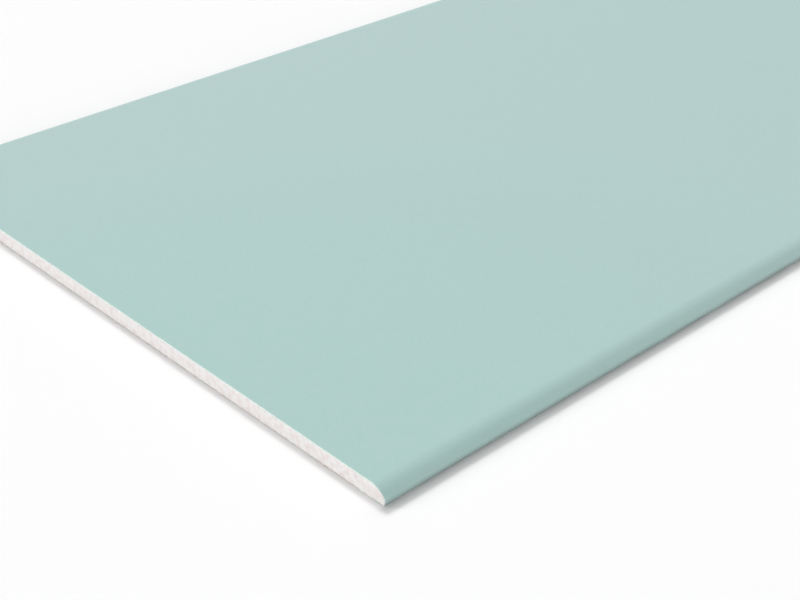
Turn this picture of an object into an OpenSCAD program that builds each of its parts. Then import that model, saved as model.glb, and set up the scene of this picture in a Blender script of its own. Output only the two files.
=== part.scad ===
// Drywall sheet: a gypsum core between a wrapped face paper and a back paper.
// It lies on its back, with X along its length, Y across its width and Z up out of its face.

/* [Sheet] */
// Length between the two cut ends, along X
sheet_len = 2000; // [1200:10:3000]
// Width over the two long edges, along Y
sheet_w = 600; // [400:10:1250]
// Thickness over both papers, along Z
sheet_t = 12.5; // [10.5:0.5:15]

/* [Rounded long edges] */
// How far in from the long edge the rounding reaches on the face
edge_run = 13; // [12.5:0.5:20]
// Radius of the nose, above the widest line of the long edge
nose_r = 6; // [4:0.5:6.5]
// Radius of the heel, which turns the long edge under to the back
heel_r = 3.3; // [3:0.1:3.6]

/* [Papers] */
// Thickness of the face paper
face_paper_t = 0.35; // [0.25:0.05:0.6]
// Thickness of the back paper
back_paper_t = 0.3; // [0.2:0.05:0.5]
// How far in from the long edge the face paper is folded under the back
fold_w = 25; // [22:1:40]
// How much of each folded flap the back paper covers
lap_w = 14; // [6:1:16]

/* [Hidden] */

// Straight steps in each arc of the long edge
arc_steps = 12;
// Height of the rounding above the widest line, which lies one heel radius above the back
rise = sheet_t - heel_r;
// The shoulder is the arc that runs on from the nose and ends level with the face
shoulder_r = (pow(edge_run - nose_r, 2) + pow(rise, 2) - pow(nose_r, 2)) / (2 * (rise - nose_r));
// Angle at which the nose hands over to the shoulder
turn = atan2(shoulder_r - rise, edge_run - nose_r);
// Half the width of the back paper, which ends on the two flaps
back_paper_y = sheet_w / 2 - fold_w + lap_w;
// Half the width of the core's back between the two flaps
open_y = sheet_w / 2 - fold_w;
// Height of the step behind the back paper, where a flap lies on it
lap_z = back_paper_t + face_paper_t;

// Points along an arc, without its first point
function arc(centre, r, from, to) =
    [for (i = [1 : arc_steps]) centre + r * [cos(from + (to - from) * i / arc_steps),
                                             sin(from + (to - from) * i / arc_steps)]];

// The +Y long edge from the back up to the face, moved in from the sheet's surface by inset
function long_edge(inset) =
    let (y = sheet_w / 2)
    concat(
        [[y - heel_r, inset]],
        arc([y - heel_r, heel_r], heel_r - inset, -90, 0),
        arc([y - nose_r, heel_r], nose_r - inset, 0, turn),
        arc([y - edge_run, sheet_t - shoulder_r], shoulder_r - inset, turn, 90)
    );

// The same points in the opposite order
function reversed(points) = [for (i = [len(points) - 1 : -1 : 0]) points[i]];

// A line from the +Y flap up to the face, carried on across the face and down to the -Y flap
function across(points) = concat(points, [for (p = reversed(points)) [-p.x, p.y]]);

// Outside of the face paper, from the end of one flap to the end of the other
face_paper_outside = across(concat(
    [[open_y, back_paper_t], [back_paper_y, back_paper_t], [back_paper_y, 0]],
    long_edge(0)
));

// Inside of the face paper, where the core fills it
face_paper_inside = across(concat(
    [[open_y, lap_z], [back_paper_y + face_paper_t, lap_z], [back_paper_y + face_paper_t, face_paper_t]],
    long_edge(face_paper_t)
));

// Runs a section across the sheet from one cut end to the other
module full_length(section) {
    translate([-sheet_len / 2, 0, 0])
        rotate([90, 0, 90])
            linear_extrude(height = sheet_len)
                polygon(section);
}

module gypsum_core() {
    color("#ebe7e2")
        full_length(concat(face_paper_inside, [[-open_y, back_paper_t], [open_y, back_paper_t]]));
}

module face_paper() {
    color("#afcec9")
        full_length(concat(face_paper_outside, reversed(face_paper_inside)));
}

module back_paper() {
    color("#c9c2b4")
        full_length([[-back_paper_y, 0], [back_paper_y, 0],
                     [back_paper_y, back_paper_t], [-back_paper_y, back_paper_t]]);
}

gypsum_core();
face_paper();
back_paper();
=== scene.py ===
"""Looks of a drywall sheet: green face paper round two rounded long edges, a gypsum core and a back paper.

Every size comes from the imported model, and each piece stands exactly where its solid does.
"""

import math

import bpy
from bpy.props import FloatProperty, FloatVectorProperty, IntProperty, PointerProperty
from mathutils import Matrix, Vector


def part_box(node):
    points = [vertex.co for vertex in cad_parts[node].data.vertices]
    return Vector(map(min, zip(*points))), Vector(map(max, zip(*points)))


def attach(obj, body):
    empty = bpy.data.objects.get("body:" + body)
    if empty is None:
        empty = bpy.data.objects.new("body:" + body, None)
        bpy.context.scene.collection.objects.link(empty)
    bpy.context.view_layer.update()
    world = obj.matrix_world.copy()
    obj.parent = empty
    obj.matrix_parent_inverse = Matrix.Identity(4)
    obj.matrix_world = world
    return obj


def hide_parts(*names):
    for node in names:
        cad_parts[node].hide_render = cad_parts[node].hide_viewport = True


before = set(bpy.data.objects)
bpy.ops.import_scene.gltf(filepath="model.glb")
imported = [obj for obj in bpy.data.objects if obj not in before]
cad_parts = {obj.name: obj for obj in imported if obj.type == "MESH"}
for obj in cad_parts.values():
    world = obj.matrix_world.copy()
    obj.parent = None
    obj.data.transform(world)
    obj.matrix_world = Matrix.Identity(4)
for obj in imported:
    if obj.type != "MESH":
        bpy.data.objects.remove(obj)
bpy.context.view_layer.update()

bl_info = {
    "name": "Drywall Sheet",
    "version": (1, 0, 0),
    "blender": (4, 5, 0),
    "location": "View3D > Sidebar > Drywall",
    "description": "Builds a plasterboard with rounded long edges, its papers, its cast core and a studio",
    "category": "Add Mesh",
}

MM = 0.001
BODY = "root"

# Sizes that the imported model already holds
SHEET_LOW, SHEET_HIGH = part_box("face_paper")
CORE_LOW, CORE_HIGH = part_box("gypsum_core")
BACK_LOW, BACK_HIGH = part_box("back_paper")
HALF_LENGTH = (SHEET_HIGH.x - SHEET_LOW.x) / 2
HALF_WIDTH = (SHEET_HIGH.y - SHEET_LOW.y) / 2
THICKNESS = SHEET_HIGH.z - SHEET_LOW.z
FACE_PAPER = SHEET_HIGH.z - CORE_HIGH.z
BACK_PAPER = BACK_HIGH.z - BACK_LOW.z
BACK_HALF_WIDTH = BACK_HIGH.y

# Edges that turn more than this are shaded as sharp
SHARP_ANGLE = math.radians(40)
# Only points this close to an end belong to the row that is cut
LAST_ROW = 0.1 * MM
# Waves to the metre of the saw lines' pattern through the thickness
SAW_LINE_RATE = 60.0
# How sharply the crumbling of the lower corner fades upwards
CRUMBLE_CURVE = 1.5


def srgb(code):
    """Turns an sRGB hex colour into linear red, green and blue."""
    shares = [int(code[i:i + 2], 16) / 255 for i in (1, 3, 5)]
    return tuple(c / 12.92 if c <= 0.04045 else ((c + 0.055) / 1.055) ** 2.4 for c in shares)


class DrywallShape(bpy.types.PropertyGroup):
    """Sizes of the rounded edges, the papers and the cut ends."""

    edge_run: FloatProperty(
        name="Edge Run", description="How far in from the long edge the rounding reaches on the face",
        default=13 * MM, min=0, unit="LENGTH")
    nose_radius: FloatProperty(
        name="Nose Radius", description="Radius of the long edge above its widest line",
        default=6 * MM, min=0, unit="LENGTH")
    heel_radius: FloatProperty(
        name="Heel Radius", description="Radius that turns the long edge under to the back",
        default=3.3 * MM, min=0, unit="LENGTH")
    fold_width: FloatProperty(
        name="Fold Width", description="How far in the face paper is folded under the back",
        default=25 * MM, min=0, unit="LENGTH")
    arc_steps: IntProperty(
        name="Arc Steps", description="Straight steps in each arc of the long edge",
        default=14, min=3)
    column: FloatProperty(
        name="Column", description="Width of the strips that the papers are made of, across the sheet",
        default=1.6 * MM, min=0.1 * MM, unit="LENGTH")
    stations: IntProperty(
        name="Stations", description="Rows of points along the sheet, closer together at the cut ends",
        default=64, min=8)
    cockle_depth: FloatProperty(
        name="Cockle Depth", description="Depth of the slow waves that drying leaves in the paper",
        default=0.09 * MM, min=0, unit="LENGTH")
    ragged_depth: FloatProperty(
        name="Ragged Depth", description="How unevenly the papers are cut at the ends",
        default=0.22 * MM, min=0, unit="LENGTH")
    torn_depth: FloatProperty(
        name="Torn Depth", description="How far the paper under the sheet stops short of the cut",
        default=0.8 * MM, min=0, unit="LENGTH")
    core_recess: FloatProperty(
        name="Core Recess", description="How far the cut gypsum lies behind the ends of the papers",
        default=0.12 * MM, min=0, unit="LENGTH")
    arris_wear: FloatProperty(
        name="Arris Wear", description="How far the lower corner of the cut gypsum has crumbled away",
        default=1.0 * MM, min=0, unit="LENGTH")
    core_column: FloatProperty(
        name="Core Column", description="Spacing of the points on the cut gypsum",
        default=0.45 * MM, min=0.1 * MM, unit="LENGTH")


def colour(name, description, code):
    """A colour that a user can change."""
    return FloatVectorProperty(
        name=name, description=description, default=srgb(code), size=3, min=0, max=1, subtype="COLOR")


class DrywallColours(bpy.types.PropertyGroup):
    """Colours of the papers, the core and the studio."""

    face: colour("Face", "Green face paper", "#A6C5C0")
    # Greyer face paper: the fibres' bunching, and a painted sheen that pales the face in broad stretches
    # along the sheet
    face_grey: colour("Face, Greyer", "Greyer face paper, for bunched fibres and for a painted sheen in broad stretches", "#ABC4C1")
    face_fleck: colour("Face Flecks", "Darker fibres in the face paper", "#7FA29D")
    # Painted shade on the lower part of the long edges, where they turn under towards the floor
    face_edge_shade: colour("Painted Edge Shade", "Painted shade on the lower part of the long edges, where they turn under", "#808F8C")
    face_ply: colour("Cut Face Paper", "Undyed plies that show where the face paper is cut", "#E3EAE4")
    back: colour("Back", "Back paper of recycled fibre", "#C3BCAD")
    back_grey: colour("Back, Greyer", "Greyer patches of the back paper", "#B7B3A8")
    back_fleck: colour("Back Flecks", "Darker fibres in the back paper", "#8B8272")
    back_ply: colour("Cut Back Paper", "Plies that show where the back paper is cut", "#D6D0C3")
    gypsum: colour("Gypsum", "Set gypsum of the core", "#EBE9E8")
    gypsum_warm: colour("Gypsum, Warmer", "Warmer patches of the core", "#E4DBDA")
    gypsum_pit: colour("Gypsum Pits", "Dust and shade in the core's air bubbles", "#D5CECA")
    floor: colour("Floor", "Studio floor", "#F4F4F4")


# ---------------------------------------------------------------- sections

def arc(centre, radius, start, end, steps):
    """Points along an arc in the YZ plane, without its first point; angles in degrees."""
    turns = [math.radians(start + (end - start) * (i + 1) / steps) for i in range(steps)]
    return [(centre[0] + radius * math.cos(a), centre[1] + radius * math.sin(a)) for a in turns]


class Edge:
    """The rounded long edge: heel, nose and shoulder arcs, measured in from the sheet's widest line."""

    def __init__(self, shape):
        self.run, self.nose, self.heel = shape.edge_run, shape.nose_radius, shape.heel_radius
        rise = THICKNESS - self.heel
        self.shoulder = ((self.run - self.nose) ** 2 + rise ** 2 - self.nose ** 2) / (2 * (rise - self.nose))
        self.turn = math.degrees(math.atan2(self.shoulder - rise, self.run - self.nose))

    def line(self, inset, steps):
        """The +Y long edge from the back up to the face, as points (y, z)."""
        heel = (HALF_WIDTH - self.heel, self.heel)
        nose = (HALF_WIDTH - self.nose, self.heel)
        shoulder = (HALF_WIDTH - self.run, THICKNESS - self.shoulder)
        return (
            [(HALF_WIDTH - self.heel, inset)]
            + arc(heel, self.heel - inset, -90, 0, steps)
            + arc(nose, self.nose - inset, 0, self.turn, steps)
            + arc(shoulder, self.shoulder - inset, self.turn, 90, steps)
        )

    def top(self, inward, inset):
        """Height of the edge's upper side at a distance in from the widest line."""
        if inward >= self.run:
            return THICKNESS - inset
        handover = self.nose - (self.nose - inset) * math.cos(math.radians(self.turn))
        if inward < handover:
            return self.heel + math.sqrt(max(0, (self.nose - inset) ** 2 - (self.nose - inward) ** 2))
        reach = (self.shoulder - inset) ** 2 - (self.run - inward) ** 2
        return THICKNESS - self.shoulder + math.sqrt(reach)

    def bottom(self, inward, inset):
        """Height of the edge's lower side at a distance in from the widest line."""
        if inward >= self.heel:
            return inset
        return self.heel - math.sqrt(max(0, (self.heel - inset) ** 2 - (self.heel - inward) ** 2))


def spaced(start, end, step):
    """Values from start to end, both included, at about one step."""
    count = max(1, round(abs(end - start) / step))
    return [start + (end - start) * i / count for i in range(count + 1)]


def face_section(shape):
    """Outside of the face paper, from the +Y flap over the face to the -Y flap."""
    edge = Edge(shape)
    open_half = HALF_WIDTH - shape.fold_width
    hidden = [(y, BACK_PAPER) for y in spaced(open_half, BACK_HALF_WIDTH, 2 * shape.column)]
    bare = [(y, 0) for y in spaced(BACK_HALF_WIDTH, HALF_WIDTH - edge.heel, shape.column)]
    side = hidden + bare[:-1] + edge.line(0, shape.arc_steps)
    inner = HALF_WIDTH - edge.run
    flat = [(y, THICKNESS) for y in spaced(inner, -inner, shape.column)]
    return side + flat[1:-1] + [(-y, z) for y, z in reversed(side)]


def back_section(shape):
    """Outside of the back paper, from -Y to +Y."""
    return [(y, 0) for y in spaced(-BACK_HALF_WIDTH, BACK_HALF_WIDTH, 2 * shape.column)]


# ---------------------------------------------------------------- nodes and meshes

# Sockets of the Mix node in its colour form, and of its result
MIX_SHARE, MIX_FIRST, MIX_SECOND, MIX_COLOUR = 0, 6, 7, 2

# Noise averages a half, and these gains bring that to about one
TEAR_GAIN = 1.6
CRUMBLE_GAIN = 1.8


def add_node(tree, kind, inputs=(), output=0, **settings):
    """Adds a node with its settings, and fills its inputs, in order or by name, with values or links.

    It returns the named or numbered output, or the whole node if the output is None.
    """
    node = tree.nodes.new(kind)
    for name, value in settings.items():
        setattr(node, name, value)
    pairs = inputs.items() if isinstance(inputs, dict) else enumerate(inputs)
    for key, value in pairs:
        if isinstance(value, bpy.types.NodeSocket):
            tree.links.new(value, node.inputs[key])
        else:
            node.inputs[key].default_value = value
    return node if output is None else node.outputs[output]


def new_tree(name, sockets):
    """A Geometry Nodes tree with geometry in and out and the named inputs; returns it and its input node."""
    tree = bpy.data.node_groups.new(name, "GeometryNodeTree")
    tree.interface.new_socket(name="Geometry", in_out="INPUT", socket_type="NodeSocketGeometry")
    tree.interface.new_socket(name="Geometry", in_out="OUTPUT", socket_type="NodeSocketGeometry")
    for socket_name, kind in sockets.items():
        tree.interface.new_socket(name=socket_name, in_out="INPUT", socket_type="NodeSocket" + kind)
    return tree, add_node(tree, "NodeGroupInput", output=None)


def end_tree(tree, geometry, material):
    """Ends a tree in plain geometry with its material."""
    real = add_node(tree, "GeometryNodeRealizeInstances", {"Geometry": geometry})
    dressed = add_node(tree, "GeometryNodeSetMaterial", {"Geometry": real, "Material": material})
    add_node(tree, "NodeGroupOutput", (dressed,), output=None)


def swept_paper_tree():
    """Runs a section along X, in stations that crowd towards both ends, cockles it and cuts it unevenly."""
    tree, given = new_tree("Swept Paper", {
        "Half Length": "Float", "Stations": "Int", "Cockle Depth": "Float", "Cockle Length": "Float",
        "Cockle Width": "Float", "Calm End": "Float", "Ragged Depth": "Float", "Ragged Size": "Float",
        "Torn Depth": "Float", "Torn Low": "Float", "Torn High": "Float", "Material": "Material"})
    section = given.outputs["Geometry"]
    half_length = given.outputs["Half Length"]

    # One row of points for each station, each row a copy of the section
    count = add_node(tree, "GeometryNodeAttributeDomainSize", {"Geometry": section}, "Point Count")
    grid = add_node(tree, "GeometryNodeMeshGrid", {
        "Size X": 1.0, "Size Y": 1.0, "Vertices X": given.outputs["Stations"], "Vertices Y": count})
    index = add_node(tree, "GeometryNodeInputIndex")
    middle = add_node(tree, "ShaderNodeMath", (index, 0.5), operation="ADD")
    rows = add_node(tree, "ShaderNodeMath", (middle, count), operation="DIVIDE")
    station = add_node(tree, "ShaderNodeMath", (rows,), operation="FLOOR")
    passed = add_node(tree, "ShaderNodeMath", (station, count), operation="MULTIPLY")
    place = add_node(tree, "ShaderNodeMath", (index, passed), operation="SUBTRACT")
    on_section = add_node(tree, "GeometryNodeSampleIndex", {
        "Geometry": section, "Value": add_node(tree, "GeometryNodeInputPosition"),
        "Index": add_node(tree, "FunctionNodeFloatToInt", (place,), rounding_mode="ROUND")},
        data_type="FLOAT_VECTOR", domain="POINT")
    across = add_node(tree, "ShaderNodeSeparateXYZ", (on_section,), output=None)
    last = add_node(tree, "ShaderNodeMath", (given.outputs["Stations"], 1.0), operation="SUBTRACT")
    share = add_node(tree, "ShaderNodeMath", (station, last), operation="DIVIDE")
    turn = add_node(tree, "ShaderNodeMath", (share, math.pi), operation="MULTIPLY")
    cosine = add_node(tree, "ShaderNodeMath", (turn,), operation="COSINE")
    along = add_node(tree, "ShaderNodeMath", (cosine, half_length), operation="MULTIPLY")
    swept = add_node(tree, "GeometryNodeSetPosition", {"Geometry": grid, "Position": add_node(
        tree, "ShaderNodeCombineXYZ", (along, across.outputs["Y"], across.outputs["Z"]))})

    # Slow waves, longer along the sheet than across it, that die out before the cut ends
    position = add_node(tree, "GeometryNodeInputPosition")
    x = add_node(tree, "ShaderNodeSeparateXYZ", (position,), "X")
    away = add_node(tree, "ShaderNodeMath", (x,), operation="ABSOLUTE")
    wave_size = add_node(tree, "ShaderNodeCombineXYZ", (
        given.outputs["Cockle Length"], given.outputs["Cockle Width"], given.outputs["Cockle Width"]))
    wave = add_node(tree, "ShaderNodeTexNoise", {
        "Vector": add_node(tree, "ShaderNodeVectorMath", (position, wave_size), operation="DIVIDE"),
        "Scale": 1.0, "Detail": 1.0})
    calm = add_node(tree, "ShaderNodeMapRange", {
        "Value": add_node(tree, "ShaderNodeMath", (half_length, away), operation="SUBTRACT"),
        "From Min": 0.0, "From Max": given.outputs["Calm End"], "To Min": 0.0, "To Max": 1.0},
        interpolation_type="SMOOTHSTEP")
    height = add_node(tree, "ShaderNodeMath", (wave, calm), operation="MULTIPLY")
    depth = add_node(tree, "ShaderNodeMath", (height, given.outputs["Cockle Depth"]), operation="MULTIPLY")
    inward = add_node(tree, "ShaderNodeMath", (depth, -1.0), operation="MULTIPLY")
    cockled = add_node(tree, "GeometryNodeSetPosition", {"Geometry": swept, "Offset": add_node(
        tree, "ShaderNodeVectorMath", {0: add_node(tree, "GeometryNodeInputNormal"), "Scale": inward},
        operation="SCALE")})

    # The outermost row is pulled in here and there, as a saw tears paper
    tear = add_node(tree, "ShaderNodeTexNoise", {
        "Vector": position, "Detail": 2.0,
        "Scale": add_node(tree, "ShaderNodeMath", (1.0, given.outputs["Ragged Size"]), operation="DIVIDE")})
    ragged = add_node(tree, "ShaderNodeMath", (tear, given.outputs["Ragged Depth"]), operation="MULTIPLY")
    # Under the sheet, the snapped paper tears back further than on the face
    under = add_node(tree, "ShaderNodeMapRange", {
        "Value": across.outputs["Z"], "From Min": given.outputs["Torn Low"],
        "From Max": given.outputs["Torn High"], "To Min": 1.0, "To Max": 0.0},
        interpolation_type="SMOOTHSTEP")
    low_tear = add_node(tree, "ShaderNodeMath", (under, tear), operation="MULTIPLY")
    torn_back = add_node(
        tree, "ShaderNodeMath", (low_tear, given.outputs["Torn Depth"]), operation="MULTIPLY")
    torn_back = add_node(tree, "ShaderNodeMath", (torn_back, TEAR_GAIN), operation="MULTIPLY")
    pull = add_node(tree, "ShaderNodeMath", (ragged, torn_back), operation="ADD")
    # Only the row at each end moves, and it moves towards the middle
    limit = add_node(tree, "ShaderNodeMath", (half_length, LAST_ROW), operation="SUBTRACT")
    at_end = add_node(tree, "ShaderNodeMath", (away, limit), operation="GREATER_THAN")
    side = add_node(tree, "ShaderNodeMath", (x,), operation="SIGN")
    for factor in (at_end, side, -1.0):
        pull = add_node(tree, "ShaderNodeMath", (pull, factor), operation="MULTIPLY")
    torn = add_node(tree, "GeometryNodeSetPosition", {
        "Geometry": cockled, "Offset": add_node(tree, "ShaderNodeCombineXYZ", (pull,))})
    end_tree(tree, torn, given.outputs["Material"])
    return tree


def bubbles(tree, plane, cell, share, smallest, largest):
    """Depth of round pits, one in each cell of a share of the cells; radii are shares of a cell."""
    cells = add_node(tree, "ShaderNodeTexVoronoi", {
        "Vector": plane, "Scale": add_node(tree, "ShaderNodeMath", (1.0, cell), operation="DIVIDE")},
        output=None, voronoi_dimensions="2D")
    dice = add_node(tree, "ShaderNodeSeparateXYZ", (cells.outputs["Color"],), "X")
    radius = add_node(tree, "ShaderNodeMapRange", {
        "Value": dice, "From Min": 1.0 - share, "From Max": 1.0, "To Min": smallest, "To Max": largest})
    present = add_node(tree, "ShaderNodeMath", (dice, 1.0 - share), operation="GREATER_THAN")
    reach = add_node(tree, "ShaderNodeMath", (radius, 2.0), operation="POWER")
    gone = add_node(tree, "ShaderNodeMath", (cells.outputs["Distance"], 2.0), operation="POWER")
    room = add_node(tree, "ShaderNodeMath", (reach, gone), operation="SUBTRACT")
    room = add_node(tree, "ShaderNodeMath", (room, 0.0), operation="MAXIMUM")
    deep = add_node(tree, "ShaderNodeMath", (room,), operation="SQRT")
    for factor in (present, cell):
        deep = add_node(tree, "ShaderNodeMath", (deep, factor), operation="MULTIPLY")
    return deep


def cut_gypsum_tree():
    """Sinks air bubbles, grain and saw lines into the two ends of the core, and keeps the pits' depth."""
    tree, given = new_tree("Cut Gypsum", {
        "Recess": "Float", "Large Bubble Cell": "Float", "Small Bubble Cell": "Float",
        "Grain Size": "Float", "Grain Depth": "Float", "Saw Line Spacing": "Float",
        "Saw Line Depth": "Float", "Arris Wear": "Float", "Crumble Size": "Float", "Material": "Material"})
    apart = add_node(
        tree, "ShaderNodeSeparateXYZ", (add_node(tree, "GeometryNodeInputPosition"),), output=None)
    y, z = apart.outputs["Y"], apart.outputs["Z"]
    side = add_node(tree, "ShaderNodeMath", (apart.outputs["X"],), operation="SIGN")
    # The two ends get different bubbles, because the plane they are drawn on is shifted by the end's side
    plane = add_node(tree, "ShaderNodeCombineXYZ", (
        add_node(tree, "ShaderNodeMath", (y, side), operation="ADD"), z))
    large = bubbles(tree, plane, given.outputs["Large Bubble Cell"], share=0.35, smallest=0.05, largest=0.11)
    small = bubbles(tree, plane, given.outputs["Small Bubble Cell"], share=0.6, smallest=0.12, largest=0.27)
    pit = add_node(tree, "ShaderNodeMath", (large, small), operation="MAXIMUM")
    grain_scale, crumble_scale = [
        add_node(tree, "ShaderNodeMath", (1.0, given.outputs[name]), operation="DIVIDE")
        for name in ("Grain Size", "Crumble Size")]
    grain = add_node(tree, "ShaderNodeTexNoise", {"Vector": plane, "Scale": grain_scale, "Detail": 2.0})
    # Saw lines run through the thickness, so their pattern is stretched along Z
    spaced_out = add_node(tree, "ShaderNodeMath", (y, given.outputs["Saw Line Spacing"]), operation="DIVIDE")
    stretched = add_node(tree, "ShaderNodeMath", (z, SAW_LINE_RATE), operation="MULTIPLY")
    lines = add_node(tree, "ShaderNodeTexNoise", {
        "Vector": add_node(tree, "ShaderNodeCombineXYZ", (spaced_out, stretched)),
        "Scale": 1.0, "Detail": 1.0})
    # The lower corner crumbles where the sheet was snapped over its back paper
    above = add_node(tree, "ShaderNodeMath", (z, BACK_PAPER), operation="SUBTRACT")
    height = add_node(tree, "ShaderNodeMath", (above, given.outputs["Arris Wear"]), operation="DIVIDE")
    lost = add_node(tree, "ShaderNodeMath", (1.0, height), operation="SUBTRACT")
    lost = add_node(tree, "ShaderNodeMath", (lost, 0.0), operation="MAXIMUM")
    lost = add_node(tree, "ShaderNodeMath", (lost, CRUMBLE_CURVE), operation="POWER")
    uneven = add_node(tree, "ShaderNodeTexNoise", {"Vector": plane, "Scale": crumble_scale, "Detail": 2.0})
    for factor in (uneven, CRUMBLE_GAIN):
        lost = add_node(tree, "ShaderNodeMath", (lost, factor), operation="MULTIPLY")
    depth = given.outputs["Recess"]
    for share, size in ((pit, 1.0), (grain, given.outputs["Grain Depth"]),
                        (lines, given.outputs["Saw Line Depth"]), (lost, given.outputs["Arris Wear"])):
        part = add_node(tree, "ShaderNodeMath", (share, size), operation="MULTIPLY")
        depth = add_node(tree, "ShaderNodeMath", (depth, part), operation="ADD")
    kept = add_node(tree, "GeometryNodeStoreNamedAttribute", {
        "Geometry": given.outputs["Geometry"], "Name": "pit",
        "Value": add_node(tree, "ShaderNodeMath", (pit, MM), operation="DIVIDE")},
        data_type="FLOAT", domain="POINT")
    for factor in (side, -1.0):
        depth = add_node(tree, "ShaderNodeMath", (depth, factor), operation="MULTIPLY")
    sunk = add_node(tree, "GeometryNodeSetPosition", {
        "Geometry": kept, "Offset": add_node(tree, "ShaderNodeCombineXYZ", (depth,))})
    end_tree(tree, sunk, given.outputs["Material"])
    return tree


def line_mesh(name, section):
    """A line of points across the sheet, at x = 0."""
    mesh = bpy.data.meshes.new(name)
    mesh.from_pydata([(0, y, z) for y, z in section], [(i, i + 1) for i in range(len(section) - 1)], [])
    return mesh


def core_mesh(name, shape):
    """The closed core: a grid of points on each cut end, joined by long faces under the papers."""
    edge = Edge(shape)
    bare_half = BACK_HALF_WIDTH + FACE_PAPER
    open_half = HALF_WIDTH - shape.fold_width
    # Where the underside steps up or down, it does so over this width
    step = 0.05 * MM
    # Columns on each rounding, and the rows' spacing as a share of the columns'
    fine, row_share = 24, 0.82

    def floor_at(y):
        if y >= bare_half + step / 2:
            return edge.bottom(HALF_WIDTH - y, FACE_PAPER)
        if y >= open_half:
            return BACK_PAPER + FACE_PAPER
        return BACK_PAPER

    # Across one half: even columns, a step at each end of the flap, and finer columns on the rounding
    inner = HALF_WIDTH - edge.run
    rounding = [
        inner + (edge.run - FACE_PAPER) * math.sin(math.pi / 2 * (i + 1) / fine) for i in range(fine)]
    half = (
        spaced(0, open_half - step, shape.core_column)
        + spaced(open_half, inner, shape.core_column)
        + rounding
    )
    half = sorted([y for y in half if abs(y - bare_half) > step] + [bare_half, bare_half + step])
    across = [-y for y in reversed(half[1:])] + half
    # Rows stand closer together towards the papers
    rows = 1 + round((CORE_HIGH.z - CORE_LOW.z) / (row_share * shape.core_column))
    even = [r / (rows - 1) for r in range(rows)]
    shares = [(e + (1 - math.cos(math.pi * e)) / 2) / 2 for e in even]

    verts, faces = [], []
    ends = []
    for x in (-HALF_LENGTH, HALF_LENGTH):
        columns = []
        for y in across:
            low, high = floor_at(abs(y)), edge.top(HALF_WIDTH - abs(y), FACE_PAPER)
            first = len(verts)
            if abs(y) == half[-1]:
                # The section has no height at its widest line, so one point stands for the column
                verts.append((x, y, edge.heel))
                columns.append([first] * rows)
                continue
            verts += [(x, y, low + (high - low) * share) for share in shares]
            columns.append(list(range(first, first + rows)))
        ends.append(columns)
        for left, right in zip(columns, columns[1:]):
            for r in range(rows - 1):
                corner = (left[r], right[r], right[r + 1], left[r + 1])
                faces.append(tuple(dict.fromkeys(corner if x > 0 else reversed(corner))))
    near, far = ends
    for i in range(len(across) - 1):
        under = (near[i][0], near[i + 1][0], far[i + 1][0], far[i][0])
        over = (near[i][-1], far[i][-1], far[i + 1][-1], near[i + 1][-1])
        faces += [tuple(dict.fromkeys(over)), tuple(dict.fromkeys(under))]
    mesh = bpy.data.meshes.new(name)
    mesh.from_pydata(verts, [], faces)
    return mesh


def grown(name, mesh, tree, inputs, wall=0.0):
    """Runs a node tree on a mesh, gives the result a wall if asked, and returns it as a plain object."""
    start = bpy.data.objects.new(name + "_start", mesh)
    bpy.context.scene.collection.objects.link(start)
    modifier = start.modifiers.new("Nodes", "NODES")
    modifier.node_group = tree
    for item in tree.interface.items_tree:
        if item.in_out == "INPUT" and item.name in inputs:
            modifier[item.identifier] = inputs[item.name]
    if wall:
        thick = start.modifiers.new("Wall", "SOLIDIFY")
        thick.thickness = wall
        thick.offset = -1
        thick.use_even_offset = True
    plain = bpy.data.meshes.new_from_object(start.evaluated_get(bpy.context.evaluated_depsgraph_get()))
    plain.name = name
    bpy.data.objects.remove(start)
    piece = bpy.data.objects.new(name, plain)
    bpy.context.scene.collection.objects.link(piece)
    plain.shade_smooth()
    plain.set_sharp_from_angle(angle=SHARP_ANGLE)
    return piece


def grown_paper(name, section, paper, wall, shape):
    """Runs a paper's section along the sheet and gives it its thickness."""
    return grown(name, line_mesh(name + "_section", section), swept_paper_tree(), {
        "Half Length": HALF_LENGTH, "Stations": shape.stations,
        "Cockle Depth": shape.cockle_depth, "Cockle Length": 260 * MM, "Cockle Width": 70 * MM,
        "Calm End": 40 * MM, "Ragged Depth": shape.ragged_depth, "Ragged Size": 3 * MM,
        "Torn Depth": shape.torn_depth, "Torn Low": 0.3 * MM, "Torn High": 2 * MM,
        "Material": paper}, wall)


# ---------------------------------------------------------------- materials

# How a colour comes in over a pattern: the two levels it comes in between, and its shares at those levels
DRIFT_AND_SHEEN_LEVELS = (0.37, 0.64, 0.0, 1.0)
CLOUD_LEVELS = (0.3, 0.7, 0.0, 0.22)
FIBRE_LEVELS = (0.66, 0.82, 0.0, 0.5)
# The next levels set the uneven patches of the painted shade on the long edges
EDGE_SHADE_LEVELS = (0.2, 0.6, 0.75, 1.0)
WARM_LEVELS = (0.38, 0.68, 0.0, 1.0)
# The same for places on the sheet: the cut, the outermost and the lowest part of the long edge
CUT_BAND = (HALF_LENGTH - 0.35 * MM, HALF_LENGTH - 0.05 * MM, 0.0, 1.0)
OUTER_BAND = (HALF_WIDTH - 8 * MM, HALF_WIDTH - 4 * MM, 0.0, 1.0)
LOW_BAND = (8 * MM, 1.2 * MM, 0.0, 1.0)
# The same for the depth of the core's bubbles, which is kept in millimetres
PIT_LEVELS = (0.05, 0.7, 0.0, 0.8)
# The undyed plies fray this far at the cut
FRAY_DEPTH = 1.0 * MM
# The fibres lie in three directions, these degrees off the length, and are this much longer than wide
FIBRE_TURNS = (-18, 7, 31)
FIBRE_STRETCH = (9, 1, 1)
# The fibres' share of the paper's relief
FIBRE_RELIEF = 0.7


def new_material(name, roughness, ior):
    """A material with one shader, whose even values are set on the shader itself."""
    material = bpy.data.materials.new(name)
    material.use_nodes = True
    tree = material.node_tree
    shader = tree.nodes["Principled BSDF"]
    shader.inputs["Roughness"].default_value = roughness
    shader.inputs["IOR"].default_value = ior
    return material, tree, shader


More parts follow.
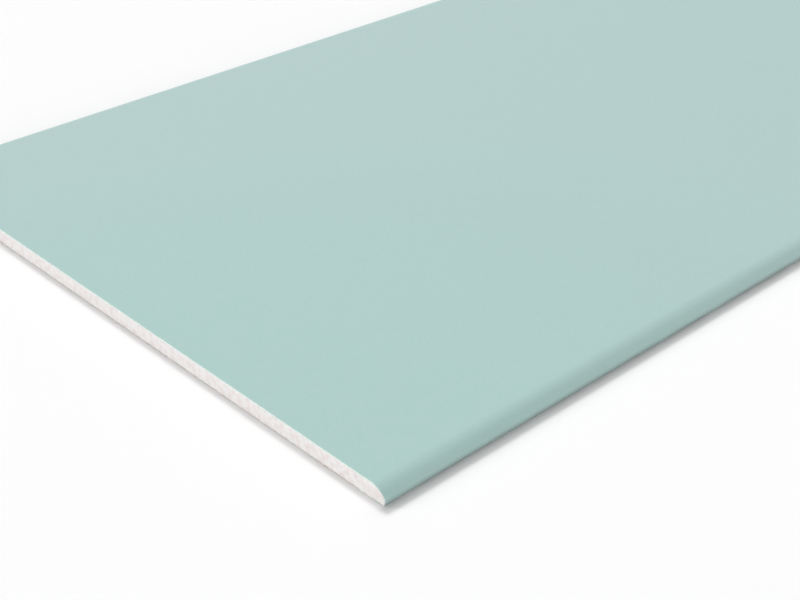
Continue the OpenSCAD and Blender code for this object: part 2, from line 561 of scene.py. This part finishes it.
def mottle(tree, size, detail=2.0, stretch=(1, 1, 1), turn=0.0, shift=(0, 0, 0)):
    """A mottled pattern fixed to the piece, its patches about size wide and longer along stretched axes."""
    placed = add_node(tree, "ShaderNodeMapping", {
        "Vector": add_node(tree, "ShaderNodeTexCoord", output="Object"), "Rotation": (0, 0, turn),
        "Location": shift, "Scale": tuple(1 / (size * s) for s in stretch)}, vector_type="POINT")
    return add_node(tree, "ShaderNodeTexNoise", {"Vector": placed, "Scale": 1.0, "Detail": detail})


def laid_over(tree, base, colour, *parts):
    """Lays a colour over a base by a share, which is the product of its parts.

    Each part is a pattern, the two levels it moves smoothly between, and its shares at those levels.
    """
    share = 1.0
    for pattern, start, end, least, most in parts:
        part = add_node(tree, "ShaderNodeMapRange", {
            "Value": pattern, "From Min": start, "From Max": end, "To Min": least, "To Max": most},
            interpolation_type="SMOOTHSTEP")
        share = add_node(tree, "ShaderNodeMath", (share, part), operation="MULTIPLY")
    return add_node(
        tree, "ShaderNodeMix", {MIX_SHARE: share, MIX_FIRST: base, MIX_SECOND: colour}, MIX_COLOUR,
        data_type="RGBA")


def opaque(rgb):
    """A colour property with its alpha."""
    return (*rgb, 1.0)


def liner_paper(name, main, grey, fleck, ply, painted_shade):
    """Multi-ply liner paper, calendered: matte, cloudy where fibres bunched, with single fibres showing."""
    material, tree, shader = new_material(name, roughness=0.8, ior=1.47)
    where = add_node(tree, "ShaderNodeTexCoord", output="Object")
    place = add_node(tree, "ShaderNodeSeparateXYZ", (where,), output=None)
    # Painted sheen: the face turns paler and greyer in broad, slow stretches along the sheet, standing in
    # for the sheen of paper seen at a low angle, and on the back paper the same pattern is only a slow
    # change of tone; the fibres bunch every centimetre or so
    drift_and_sheen = mottle(tree, 900 * MM, detail=0.0, stretch=(1.5, 1, 1), shift=(2.5, 8.2, 0))
    clouds = mottle(tree, 9 * MM, detail=3.0, stretch=(1.6, 1, 1))
    base = laid_over(tree, opaque(main), opaque(grey), (drift_and_sheen, *DRIFT_AND_SHEEN_LEVELS))
    base = laid_over(tree, base, opaque(grey), (clouds, *CLOUD_LEVELS))
    # Fibres are 2 to 3 mm long and mostly lie along the sheet; they are drawn 0.3 mm thick so that they show
    felt = 0.0
    for degrees in FIBRE_TURNS:
        strands = mottle(tree, 0.3 * MM, detail=1.0, stretch=FIBRE_STRETCH, turn=math.radians(degrees))
        felt = add_node(tree, "ShaderNodeMath", (felt, strands), operation="MAXIMUM")
    base = laid_over(tree, base, opaque(fleck), (felt, *FIBRE_LEVELS))
    # The undyed plies show where the saw cut the paper, in a frayed band
    away = add_node(tree, "ShaderNodeMath", (place.outputs["X"],), operation="ABSOLUTE")
    fray = add_node(tree, "ShaderNodeMath", (mottle(tree, 2 * MM), FRAY_DEPTH), operation="MULTIPLY")
    frayed = add_node(tree, "ShaderNodeMath", (away, fray), operation="ADD")
    base = laid_over(tree, base, opaque(ply), (frayed, *CUT_BAND))
    # Painted shade on the part of the long edges that turns under: darker towards the floor and at the
    # outermost part, in uneven patches
    outer = add_node(tree, "ShaderNodeMath", (place.outputs["Y"],), operation="ABSOLUTE")
    patches = mottle(tree, 12 * MM, detail=2.0, stretch=(3, 1, 1))
    base = laid_over(
        tree, base, opaque(painted_shade),
        (outer, *OUTER_BAND), (place.outputs["Z"], *LOW_BAND), (patches, *EDGE_SHADE_LEVELS))
    tree.links.new(base, shader.inputs["Base Color"])
    ridges = add_node(tree, "ShaderNodeMath", (felt, FIBRE_RELIEF), operation="MULTIPLY")
    grain = mottle(tree, 0.8 * MM, detail=3.0)
    tooth = add_node(tree, "ShaderNodeMath", (ridges, grain), operation="ADD")
    bump = add_node(tree, "ShaderNodeBump", {"Strength": 0.35, "Distance": 0.05 * MM, "Height": tooth})
    tree.links.new(bump, shader.inputs["Normal"])
    return material


def cast_gypsum(name, colours):
    """Foamed gypsum, cast and sawn: chalky white with warmer patches, and dust and painted shade in its open
    bubbles.
    """
    material, tree, shader = new_material(name, roughness=0.95, ior=1.52)
    patches = mottle(tree, 5 * MM, detail=3.0)
    depth = add_node(tree, "ShaderNodeAttribute", output="Fac", attribute_name="pit")
    base = laid_over(tree, opaque(colours.gypsum), opaque(colours.gypsum_warm), (patches, *WARM_LEVELS))
    # Dust and painted shade in the bubbles, darker where a pit is deeper
    base = laid_over(tree, base, opaque(colours.gypsum_pit), (depth, *PIT_LEVELS))
    tree.links.new(base, shader.inputs["Base Color"])
    # The crystals are far finer than this; they are drawn 0.35 mm wide so that the chalky grain shows
    crystals = mottle(tree, 0.35 * MM, detail=4.0)
    bump = add_node(tree, "ShaderNodeBump", {"Strength": 0.6, "Distance": 0.08 * MM, "Height": crystals})
    tree.links.new(bump, shader.inputs["Normal"])
    return material


def matte_floor(name, colours):
    """Studio paper roll: an even, matte, pale floor."""
    material, _, shader = new_material(name, roughness=0.9, ior=1.45)
    shader.inputs["Base Color"].default_value = opaque(colours.floor)
    shader.inputs["Specular IOR Level"].default_value = 0.2
    return material


# ---------------------------------------------------------------- operators

class DRYWALL_OT_core(bpy.types.Operator):
    """Makes the gypsum core with its two sawn ends"""

    bl_idname = "drywall.core"
    bl_label = "Gypsum Core"

    def execute(self, context):
        shape, colours = context.scene.drywall_shape, context.scene.drywall_colours
        piece = grown("gypsum_slab", core_mesh("core_grid", shape), cut_gypsum_tree(), {
            "Recess": shape.core_recess, "Large Bubble Cell": 6.5 * MM, "Small Bubble Cell": 1.9 * MM,
            "Grain Size": 0.7 * MM, "Grain Depth": 0.1 * MM, "Saw Line Spacing": 1.4 * MM,
            "Saw Line Depth": 0.08 * MM, "Arris Wear": shape.arris_wear, "Crumble Size": 4 * MM,
            "Material": cast_gypsum("Cast foamed gypsum, sawn", colours)})
        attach(piece, BODY)
        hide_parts("gypsum_core")
        return {"FINISHED"}


class DRYWALL_OT_face_paper(bpy.types.Operator):
    """Makes the green paper over the face, round both long edges and in under the back"""

    bl_idname = "drywall.face_paper"
    bl_label = "Face Paper"

    def execute(self, context):
        shape, colours = context.scene.drywall_shape, context.scene.drywall_colours
        paper = liner_paper(
            "Green liner paper, calendered", colours.face, colours.face_grey, colours.face_fleck,
            colours.face_ply, colours.face_edge_shade)
        piece = grown_paper("face_liner", face_section(shape), paper, FACE_PAPER, shape)
        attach(piece, BODY)
        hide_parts("face_paper")
        return {"FINISHED"}


class DRYWALL_OT_back_paper(bpy.types.Operator):
    """Makes the plain paper on the back, which ends on the two flaps of the face paper"""

    bl_idname = "drywall.back_paper"
    bl_label = "Back Paper"

    def execute(self, context):
        shape, colours = context.scene.drywall_shape, context.scene.drywall_colours
        paper = liner_paper(
            "Recycled liner paper, calendered", colours.back, colours.back_grey, colours.back_fleck,
            colours.back_ply, colours.back_grey)
        piece = grown_paper("back_liner", back_section(shape), paper, BACK_PAPER, shape)
        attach(piece, BODY)
        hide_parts("back_paper")
        return {"FINISHED"}


# ---------------------------------------------------------------- stage

# The camera's place from the near corner, its heading and how many degrees it looks down
CAMERA_FROM_CORNER = (-0.4611, -0.5062, 0.5620)
CAMERA_HEADING = 46.9
CAMERA_FALL = 31.23
# The floor is a square under the sheet and a ring round it, which reaches past the top of low views
FLOOR_HALF = 9.0
FLOOR_FAR = 60.0
# The sheet stands this far off the floor, so that no faces share a plane
FLOOR_GAP = 0.05 * MM
BACKDROP_STRENGTH = 0.185
# Name, heading, height and spread in degrees, and power. The key comes over the far left of the sheet, so
# both edges near the camera stand on a thin shadow. Wide, weak lights fill in from the left, from beyond,
# and low along each of those edges.
LIGHTS = (
    ("key", 73.4, 43.5, 14, 1.49),
    ("left", 136.9, 25.5, 18, 0.9),
    ("beyond", 46.9, 45, 60, 1.03),
    ("edge_fill", -90, 12, 50, 1.89),
    ("end_fill", 180, 15, 50, 0.93),
)


def from_angles(heading, height):
    """The direction of a heading, in degrees turned from +X, and a height, in degrees above the floor."""
    turn, rise = math.radians(heading), math.radians(height)
    return Vector((math.cos(turn) * math.cos(rise), math.sin(turn) * math.cos(rise), math.sin(rise)))


def distant_light(name, heading, height, spread, power):
    """A soft light far away, in the direction of its heading and height."""
    light = bpy.data.lights.new(name, "SUN")
    light.angle = math.radians(spread)
    light.energy = power
    holder = bpy.data.objects.new(name, light)
    holder.rotation_euler = from_angles(heading, height).to_track_quat("Z", "Y").to_euler()
    bpy.context.scene.collection.objects.link(holder)


class DRYWALL_OT_stage(bpy.types.Operator):
    """Makes the camera, the pale floor and the soft light"""

    bl_idname = "drywall.stage"
    bl_label = "Stage"

    def execute(self, context):
        scene = context.scene
        corner = Vector((SHEET_LOW.x, SHEET_LOW.y, SHEET_LOW.z))

        # The camera looks down over the near corner
        lens = bpy.data.cameras.new("Camera")
        lens.lens = 65.5
        lens.sensor_width = 36
        lens.clip_start = 0.01
        camera = bpy.data.objects.new("Camera", lens)
        camera.location = corner + Vector(CAMERA_FROM_CORNER)
        ahead = from_angles(CAMERA_HEADING, -CAMERA_FALL)
        camera.rotation_euler = ahead.to_track_quat("-Z", "Y").to_euler()
        scene.collection.objects.link(camera)
        scene.camera = camera

        mesh = bpy.data.meshes.new("floor")
        level = SHEET_LOW.z - FLOOR_GAP
        corners = ((-1, -1), (1, -1), (1, 1), (-1, 1))
        points = [(x * half, y * half, level) for half in (FLOOR_HALF, FLOOR_FAR) for x, y in corners]
        count = len(corners)
        ring = [(i, count + i, count + (i + 1) % count, (i + 1) % count) for i in range(count)]
        mesh.from_pydata(points, [], [tuple(range(count))] + ring)
        mesh.materials.append(matte_floor("Studio paper, matte", scene.drywall_colours))
        floor = bpy.data.objects.new("floor", mesh)
        scene.collection.objects.link(floor)

        for light in LIGHTS:
            distant_light(*light)
        world = bpy.data.worlds.new("Studio")
        world.use_nodes = True
        backdrop = world.node_tree.nodes["Background"]
        backdrop.inputs["Color"].default_value = opaque(srgb("#FFFFFF"))
        backdrop.inputs["Strength"].default_value = BACKDROP_STRENGTH
        scene.world = world
        scene.view_settings.view_transform = "Standard"
        return {"FINISHED"}


class DRYWALL_PT_sheet(bpy.types.Panel):
    """Lists the sizes, the colours and the buttons that make each piece"""

    bl_label = "Drywall Sheet"
    bl_space_type = "VIEW_3D"
    bl_region_type = "UI"
    bl_category = "Drywall"

    def draw(self, context):
        for group in (context.scene.drywall_shape, context.scene.drywall_colours):
            box = self.layout.box()
            for name in group.__annotations__:
                box.prop(group, name)
        for operator in OPERATORS:
            self.layout.operator(operator.bl_idname)


OPERATORS = (DRYWALL_OT_core, DRYWALL_OT_face_paper, DRYWALL_OT_back_paper, DRYWALL_OT_stage)
CLASSES = (DrywallShape, DrywallColours, *OPERATORS, DRYWALL_PT_sheet)


def register():
    """Adds the sizes, the colours, the operators and the panel."""
    for item in CLASSES:
        bpy.utils.register_class(item)
    bpy.types.Scene.drywall_shape = PointerProperty(type=DrywallShape)
    bpy.types.Scene.drywall_colours = PointerProperty(type=DrywallColours)


def unregister():
    """Takes them away again."""
    del bpy.types.Scene.drywall_colours
    del bpy.types.Scene.drywall_shape
    for item in reversed(CLASSES):
        bpy.utils.unregister_class(item)


def main():
    """Builds the sheet and its stage."""
    register()
    bpy.ops.drywall.core()
    bpy.ops.drywall.face_paper()
    bpy.ops.drywall.back_paper()
    bpy.ops.drywall.stage()
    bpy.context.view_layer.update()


if __name__ == "__main__":
    main()
